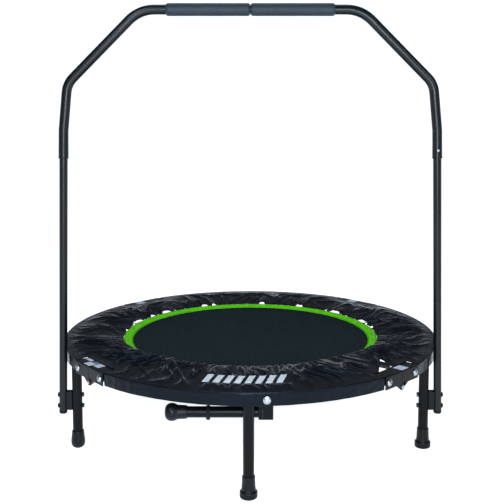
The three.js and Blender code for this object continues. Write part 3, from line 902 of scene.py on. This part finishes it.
def skirt_column(angle):
    """Radius and height along one line of cloth: tucked hem, top, rounded rim, band, turned bottom."""
    across, down = 44, 12
    x, y = math.cos(angle), math.sin(angle)
    hem = hem_radius(angle)
    hem_top = skirt_height(angle, 0.0, hem)
    column = []
    for j in range(5):
        tuck = math.pi * (0.15 + 0.85 * j / 5)
        column.append((hem + 0.0022 * math.cos(tuck + math.pi / 2) - 0.0002,
                       hem_top - 0.0024 * (1 - j / 5)))
    edge = SKIRT_RIM - RIM_ROUND
    for j in range(across + 1):
        share = j / across
        radius = hem + (edge - hem) * share
        column.append((radius, skirt_height(angle, share, radius)))
    rim_top = column[-1][1]
    ripple = 0.0010 * noise.noise(Vector((x * 14, y * 14, 2)))
    ripple += 0.0005 * noise.noise(Vector((x * 50, y * 50, 3)))
    for j in range(1, 5):
        bend = j / 5 * math.pi / 2
        column.append((edge + (RIM_ROUND + ripple) * math.sin(bend),
                       rim_top - RIM_ROUND * (1 - math.cos(bend))))
    top, lean = column[-1][1], 0.0012
    for j in range(1, down + 1):
        share = j / down
        pucker = 0.0009 * math.sin(math.pi * share) * noise.noise(Vector((x * 30, y * 30, share * 2)))
        column.append((SKIRT_RIM + ripple + pucker - lean * share, top + (SKIRT_BOTTOM - top) * share))
    for j in range(1, 4):
        bend = j / 3 * math.pi * 0.8
        column.append((SKIRT_RIM - lean + ripple - 0.0012 * (1 - math.cos(bend)),
                       SKIRT_BOTTOM - 0.0010 * math.sin(bend)))
    return column


def make_skirt():
    """The gathered nylon ring, one sheet of cloth that is cut away over the hinges."""
    around = 1440
    columns = []
    for i in range(around):
        angle = TAU * i / around
        x, y = math.cos(angle), math.sin(angle)
        columns.append([(radius * x, radius * y, z) for radius, z in skirt_column(angle)])
    rows = len(columns[0])
    verts = [v for column in columns for v in column]
    faces = []
    for i in range(around):
        j = (i + 1) % around
        for k in range(rows - 1):
            faces.append((i * rows + k, i * rows + k + 1, j * rows + k + 1, j * rows + k))
    mesh = bpy.data.meshes.new("skirt_cloth")
    mesh.from_pydata(verts, [], faces)
    layer = mesh.uv_layers.new(name="UVMap")
    for loop in mesh.loops:
        column, row = divmod(loop.vertex_index, rows)
        layer.data[loop.index].uv = (TAU * 0.42 * column / around, 0.2 * row / rows)
    obj = bpy.data.objects.new("skirt_cloth", mesh)
    bpy.context.scene.collection.objects.link(obj)
    work = bmesh.new()
    work.from_mesh(mesh)
    for degrees in HINGES.values():
        cut_for_hinge(work, degrees)
    bmesh.ops.delete(work, geom=[v for v in work.verts if not v.link_faces], context="VERTS")
    work.to_mesh(mesh)
    work.free()
    finish_piece(obj, NYLON, "frame", ("safety_skirt",), 75)
    thickness = obj.modifiers.new("cloth", "SOLIDIFY")
    thickness.thickness = 0.0012
    thickness.offset = -1
    return obj


def cut_for_hinge(work, degrees):
    """Cuts the skirt away over a hinge, along straight edges."""
    turn = math.radians(degrees)
    radial = Vector((math.cos(turn), math.sin(turn), 0))
    tangent = Vector((-math.sin(turn), math.cos(turn), 0))
    planes = [(radial * CUT_DEPTH, radial), (tangent * CUT_HALF, tangent), (tangent * -CUT_HALF, tangent)]
    notched = degrees == HINGES["front_right"]
    if notched:
        planes.append((radial * CUT_DEPTH - tangent * 0.048, radial + NOTCH_SLANTS[0] * tangent))
        planes.append((radial * 0.415 + tangent * 0.023, tangent + NOTCH_SLANTS[1] * radial))

    def place(face):
        middle = face.calc_center_median()
        return middle.dot(radial), middle.dot(tangent)

    for point, normal in planes:
        near = [f for f in work.faces if place(f)[0] > CUT_REACH and abs(place(f)[1]) < 0.08]
        geometry = near + list({e for f in near for e in f.edges}) + list({v for f in near for v in f.verts})
        bmesh.ops.bisect_plane(work, geom=geometry, plane_co=point, plane_no=normal, dist=1e-6)
    doomed = []
    for face in work.faces:
        out, side = place(face)
        if out <= CUT_REACH or abs(side) >= CUT_HALF:
            continue
        in_notch = notched and (out + NOTCH_SLANTS[0] * side > NOTCH_LIMITS[0]
                                and side + NOTCH_SLANTS[1] * out < NOTCH_LIMITS[1])
        if out > CUT_DEPTH or in_notch:
            doomed.append(face)
    bmesh.ops.delete(work, geom=doomed, context="FACES")


def make_rim_piping():
    """A thin sewn cord along the skirt's rim, between the hinges."""
    cords = []
    for name, (start, stop) in ARCS.items():
        points = []
        span = stop - start - 2 * PIPING_MARGIN
        for i in range(161):
            angle = math.radians(start + PIPING_MARGIN + span * i / 160)
            x, y = math.cos(angle), math.sin(angle)
            height = skirt_height(angle, 1.0, SKIRT_RIM) - 0.0012
            points.append(Vector((0.4972 * x, 0.4972 * y, height)))
        data = swept_data(points, 0.0012, 8, Vector((0, 0, 1)))
        cords.append(build(f"rim_piping_{name}", data, NYLON))
    return cords


def make_print():
    """A generic mark of plain slanted bars printed on the front of the skirt."""
    parts = []
    steps, across = 30, 12
    for i in range(BAR_COUNT):
        middle = -0.0125 + (i - (BAR_COUNT - 1) / 2) * BAR_PITCH
        verts, faces = [], []
        for a in range(steps + 1):
            radius = BAR_START + BAR_LENGTH * a / steps
            for b in range(across + 1):
                x = middle + BAR_SLANT * (0.5 - a / steps) + BAR_WIDTH * (b / across - 0.5)
                y = -math.sqrt(radius ** 2 - x ** 2)
                angle = math.atan2(y, x)
                hem = hem_radius(angle)
                share = (radius - hem) / (SKIRT_RIM - RIM_ROUND - hem)
                verts.append((x, y, skirt_height(angle, share, radius) + 0.0006))
        for a in range(steps):
            for b in range(across):
                p = a * (across + 1) + b
                faces.append((p, p + 1, p + across + 2, p + across + 1))
        parts.append((verts, faces))
    obj = new_object("printed_bars", *merge(parts))
    finish_piece(obj, PRINT, "frame", (), 75)
    modifier = obj.modifiers.new("ink", "SOLIDIFY")
    modifier.thickness = 0.0003
    modifier.offset = 1
    return obj


# ---- Studio -----------------------------------------------------------------------------------

def make_world():
    """A dim room with a white horizon behind the object. The camera itself sees it white all round."""
    world = bpy.data.worlds.new("studio")
    world.use_nodes = True
    nodes, links = world.node_tree.nodes, world.node_tree.links
    coordinates = nodes.new("ShaderNodeTexCoord")
    split = nodes.new("ShaderNodeSeparateXYZ")
    links.new(coordinates.outputs["Generated"], split.inputs["Vector"])
    ramps = []
    for axis, low, high, start, end in (("Z", 0.120, 0.135, 1, 0), ("Y", -0.2, 0.5, 0, 1)):
        ramp = nodes.new("ShaderNodeMapRange")
        for socket, value in zip(("From Min", "From Max", "To Min", "To Max"), (low, high, start, end)):
            ramp.inputs[socket].default_value = value
        links.new(split.outputs[axis], ramp.inputs["Value"])
        ramps.append(ramp.outputs["Result"])
    horizon = nodes.new("ShaderNodeMath")
    horizon.operation = "MULTIPLY"
    strength = nodes.new("ShaderNodeMath")
    strength.operation = "MULTIPLY_ADD"
    strength.inputs[1].default_value = 1.05
    strength.inputs[2].default_value = 0.18
    links.new(ramps[0], horizon.inputs[0])
    links.new(ramps[1], horizon.inputs[1])
    links.new(horizon.outputs[0], strength.inputs[0])
    backdrop = nodes.new("ShaderNodeMath")
    backdrop.operation = "MULTIPLY"
    backdrop.inputs[1].default_value = 1.25
    brighter = nodes.new("ShaderNodeMath")
    brighter.operation = "MAXIMUM"
    links.new(nodes.new("ShaderNodeLightPath").outputs["Is Camera Ray"], backdrop.inputs[0])
    links.new(strength.outputs[0], brighter.inputs[0])
    links.new(backdrop.outputs[0], brighter.inputs[1])
    links.new(brighter.outputs[0], nodes["Background"].inputs["Strength"])
    nodes["Background"].inputs["Color"].default_value = (0.84, 0.92, 1.0, 1)
    bpy.context.scene.world = world


def make_studio():
    """White paper that glows a little, and four soft, slightly bluish lights."""
    floor_data = [(-14, -14, 0), (14, -14, 0), (14, 14, 0), (-14, 14, 0)]
    floor = new_object("studio_floor", floor_data, [(0, 1, 2, 3)], Matrix.Translation((0, 0, -0.0005)))
    paper = Look("studio_paper", (0.95, 0.95, 0.95), 0.9, Specular_IOR_Level=0.1,
                 Emission_Color=(1, 1, 1, 1), Emission_Strength=0.84)
    paper.vary_color(paper.noise(3, 2), (0.94, 0.94, 0.94))
    floor.data.materials.append(paper.material)
    make_world()

    for name, place, target, size, power in (
        ("key", (-1.3, -2.8, 2.6), (0, 0, 0.3), 1.0, 50),
        ("fill", (2.2, -2.4, 1.9), (0, 0, 0.4), 0.8, 20),
        ("flash", (0.12, -2.9, 1.0), (0, 0, 0.6), 0.8, 72),
        ("top", (0.0, 0.9, 3.2), (0, 0, 0.2), 1.4, 20),
    ):
        light = bpy.data.lights.new(name, "AREA")
        light.energy = power
        light.size = size
        light.color = (0.72, 0.86, 1.0)
        obj = bpy.data.objects.new(name, light)
        obj.location = place
        obj.rotation_euler = (Vector(target) - Vector(place)).to_track_quat("-Z", "Y").to_euler()
        bpy.context.scene.collection.objects.link(obj)


def make_camera():
    """The fitted camera: 2.3 m in front of the centre, pitched 6 degrees down."""
    camera = bpy.data.cameras.new("camera")
    camera.sensor_width = 36
    camera.lens = 61.36
    camera.shift_x = 0.0032
    camera.shift_y = -0.1235
    obj = bpy.data.objects.new("camera", camera)
    obj.location = (0, -2.3, 0.8755)
    obj.rotation_euler = (math.radians(90 - 6), 0, 0)
    bpy.context.scene.collection.objects.link(obj)
    bpy.context.scene.camera = obj
    bpy.context.scene.view_settings.view_transform = "Standard"


make_camera()
make_frame_arcs()
make_hinges()
make_legs()
make_folding_leg()
make_handlebar()
make_mat_disc()
make_border_ring()
make_springs()
skirt = make_skirt()
make_rim_piping()
make_print()
make_studio()
